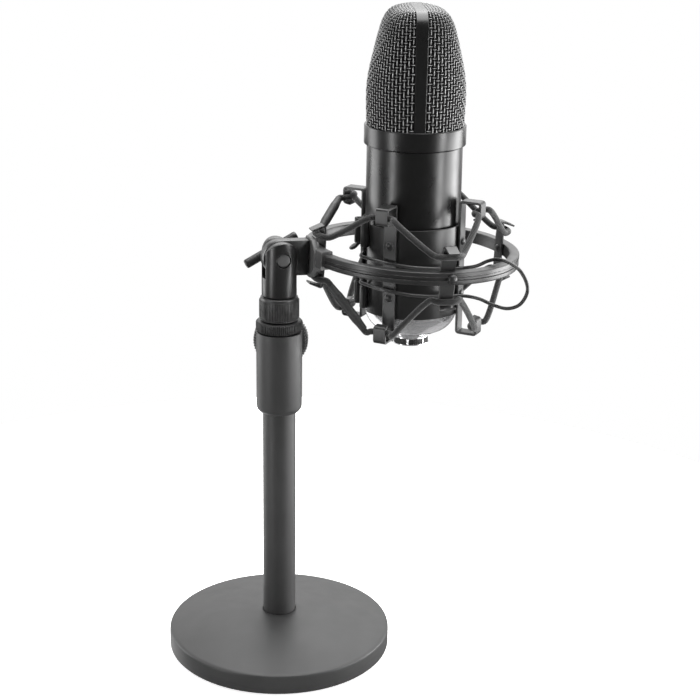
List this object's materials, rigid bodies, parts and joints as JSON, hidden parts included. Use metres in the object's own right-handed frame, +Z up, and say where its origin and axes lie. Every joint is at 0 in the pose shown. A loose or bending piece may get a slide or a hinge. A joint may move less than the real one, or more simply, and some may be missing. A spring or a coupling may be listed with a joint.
{
  "type": "desktop condenser microphone on a stand",
  "caption": "Side-address condenser microphone in an elastic-cord shock mount, on a height-adjustable table stand with a round weighted foot.",
  "frame": {"origin": "centre of the foot's underside, on the surface it stands on", "axes": "+Z up along the stand's tubes, +Y towards the height knob, +X towards the microphone's side of the stand"},
  "size_m": [0.1719, 0.1425, 0.3184],
  "materials": {
    "powder_coat": "fine satin powder coat",
    "rubber": "matte",
    "liner": "matte foam",
    "screw_steel": "zinc plated",
    "black_moulding": "moulded",
    "connector_moulding": "moulded",
    "black_tube": "satin black",
    "cast_black": "satin black on a casting",
    "satin_grey": "satin dark grey on a casting",
    "swivel_black": "satin black",
    "black_steel": "satin black on pressed steel",
    "jaw_black": "satin black",
    "wire_steel": "black oxide",
    "elastic": "braided cover",
    "elastic_joiner": "heat-shrunk sleeve",
    "mic_black": "satin black",
    "grille_wire": "woven steel wire, black",
    "nickel": "satin nickel",
    "pin_metal": "tinned",
    "capsule_gold": "sputtered film and turned ring",
    "board_green": "solder mask"
  },
  "bodies": {
    "stand": {"base_plate": "powder_coat", "base_pad": "rubber", "base_bolt": "screw_steel", "outer_tube": "powder_coat", "height_sleeve": "powder_coat", "guide_bush": "black_moulding"},
    "height_knob": {"height_knob": "black_moulding", "knob_screw": "screw_steel"},
    "mast": {"inner_tube": "black_tube", "mast_stud": "screw_steel"},
    "lock_ring": {"lock_ring": "black_moulding"},
    "coupling_nut": {"coupling_nut": "cast_black"},
    "swivel": {"swivel_yoke": "swivel_black", "tilt_bolt": "satin_grey", "tilt_washer": "screw_steel"},
    "tilt_handle": {"tilt_handle": "cast_black"},
    "arm": {"tilt_arm": "swivel_black", "ring_block": "satin_grey", "suspension_ring": "black_steel", "post_1": "black_steel", "post_2": "black_steel", "post_3": "black_steel", "post_4": "black_steel", "post_rivet_1": "black_steel", "post_rivet_2": "black_steel", "post_rivet_3": "black_steel", "post_rivet_4": "black_steel"},
    "clamp": {"jaw_front": "jaw_black", "jaw_back": "jaw_black", "jaw_liner_front": "liner", "jaw_liner_back": "liner", "bracket_1": "black_steel", "bracket_2": "black_steel", "bracket_3": "black_steel", "bracket_4": "black_steel", "elastic_upper": "elastic", "elastic_lower": "elastic", "elastic_joiner_upper": "elastic_joiner", "elastic_joiner_lower": "elastic_joiner"},
    "grip_front": {"grip_wire_front": "wire_steel"},
    "grip_back": {"grip_wire_back": "wire_steel"},
    "microphone": {"body_tube": "mic_black", "collar": "mic_black", "grille": "grille_wire", "grille_band": "mic_black", "capsule": "capsule_gold", "capsule_saddle": "black_moulding", "circuit_board": "board_green", "board_frame": "nickel", "bottom_cap": "nickel", "xlr_shell": "nickel", "xlr_insert": "connector_moulding", "xlr_pin_1": "pin_metal", "xlr_pin_2": "pin_metal", "xlr_pin_3": "pin_metal"}
  },
  "joints": [
    {"name": "height_slide", "type": "slide", "parent": "stand", "child": "mast", "axis": [0, 0, 1], "range_m": [0, 0.09]},
    {"name": "height_knob_turn", "type": "hinge", "parent": "stand", "child": "height_knob", "pos_m": [0, 0.02, 0.1568], "axis": [0, 1, 0], "continuous": true},
    {"name": "lock_ring_turn", "type": "hinge", "parent": "mast", "child": "lock_ring", "pos_m": [0, 0, 0.17], "axis": [0, 0, 1], "continuous": true},
    {"name": "coupling_nut_turn", "type": "hinge", "parent": "mast", "child": "coupling_nut", "pos_m": [0, 0, 0.178], "axis": [0, 0, 1], "continuous": true},
    {"name": "pan", "type": "hinge", "parent": "mast", "child": "swivel", "pos_m": [0, 0, 0.19], "axis": [0, 0, 1], "continuous": true},
    {"name": "tilt_handle_turn", "type": "hinge", "parent": "swivel", "child": "tilt_handle", "pos_m": [-0.00425, 0.01228, 0.2033], "axis": [-0.3272, 0.9449, 0], "continuous": true},
    {"name": "tilt", "type": "hinge", "parent": "swivel", "child": "arm", "pos_m": [0, 0, 0.2033], "axis": [0.3272, -0.9449, 0], "range_deg": [-20, 90]},
    {"name": "suspension", "type": "slide", "parent": "arm", "child": "clamp", "axis": [0, 0, 1], "range_m": [-0.0009, 0.0025], "stiffness_N_per_m": 4000, "springref_m": 0.001, "deforming": ["elastic_upper", "elastic_lower", "elastic_joiner_upper", "elastic_joiner_lower"]},
    {"name": "grip_front_swing", "type": "hinge", "parent": "clamp", "child": "grip_front", "pos_m": [0.04032, 0.00937, 0.1965], "axis": [0, 0, -1], "range_deg": [0, 5], "stiffness_Nm_per_rad": 1.2},
    {"name": "grip_back_swing", "type": "hinge", "parent": "clamp", "child": "grip_back", "pos_m": [0.03747, 0.01757, 0.1965], "axis": [0, 0, 1], "range_deg": [0, 5], "stiffness_Nm_per_rad": 1.2},
    {"name": "microphone_slide", "type": "slide", "parent": "clamp", "child": "microphone", "axis": [0, 0, 1], "range_m": [0, 0.045]}
  ]
}
